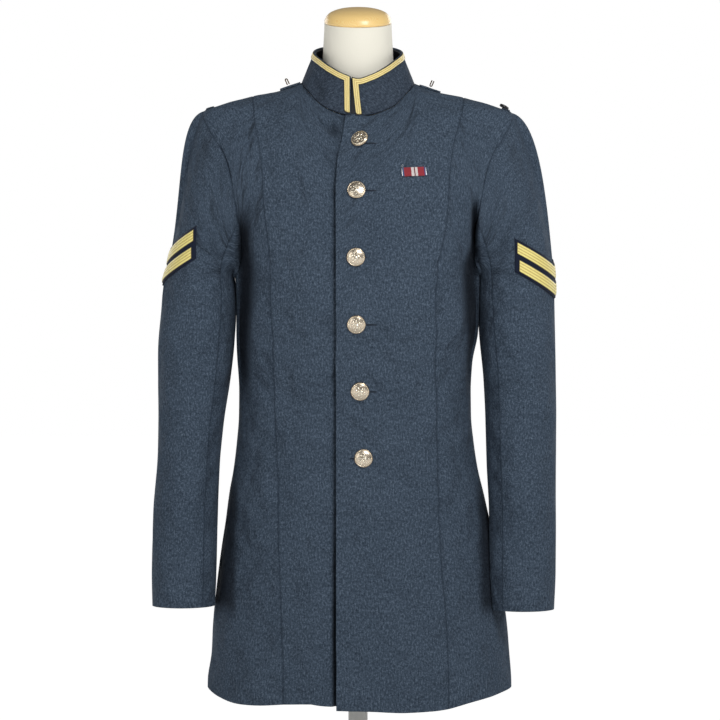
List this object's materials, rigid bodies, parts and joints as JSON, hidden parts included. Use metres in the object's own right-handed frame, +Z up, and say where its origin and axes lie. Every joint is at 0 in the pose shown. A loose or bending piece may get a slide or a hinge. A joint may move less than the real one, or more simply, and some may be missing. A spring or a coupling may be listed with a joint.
{
  "type": "band jacket on a limbless dress form",
  "caption": "Long stand-collar band jacket with metal buttons, sleeve chevrons and braid, worn by a limbless dress form on a round stand.",
  "frame": {"origin": "centre of the underside of the stand's round base, on the floor", "axes": "+Z up, the jacket's front faces -Y, +X is the wearer's left"},
  "size_m": [0.5223, 0.34, 1.5047],
  "materials": {
    "wool": "matte",
    "wool_collar": "matte",
    "navy": "matte",
    "lining": "satin",
    "braid": "satin",
    "button_metal": "polished",
    "ribbon": "satin",
    "brass": "satin",
    "black_plastic": "gloss",
    "linen": "matte",
    "maple": "satin",
    "painted_steel": "satin"
  },
  "bodies": {
    "root": {"front_left": "wool", "side_front_left": "wool", "back_left": "wool", "top_sleeve_left": "wool", "under_sleeve_left": "wool", "shoulder_tab_left": "wool", "shoulder_loop_left": "wool", "chevron_ground_left": "navy", "chevron_upper_left": "braid", "chevron_lower_left": "braid", "shoulder_pin_left": "brass", "front_right": "wool", "side_front_right": "wool", "back_right": "wool", "top_sleeve_right": "wool", "under_sleeve_right": "wool", "shoulder_tab_right": "wool", "shoulder_loop_right": "wool", "chevron_ground_right": "navy", "chevron_upper_right": "braid", "chevron_lower_right": "braid", "shoulder_pin_right": "brass", "button_1": "button_metal", "button_2": "button_metal", "button_3": "button_metal", "button_4": "button_metal", "button_5": "button_metal", "button_6": "button_metal", "collar": "wool_collar", "collar_lining": "lining", "collar_braid": "braid", "ribbon_bar": "ribbon", "shoulder_button": "black_plastic", "form_body": "linen", "form_cap": "maple", "form_pole": "painted_steel", "form_base": "painted_steel"}
  },
  "joints": []
}
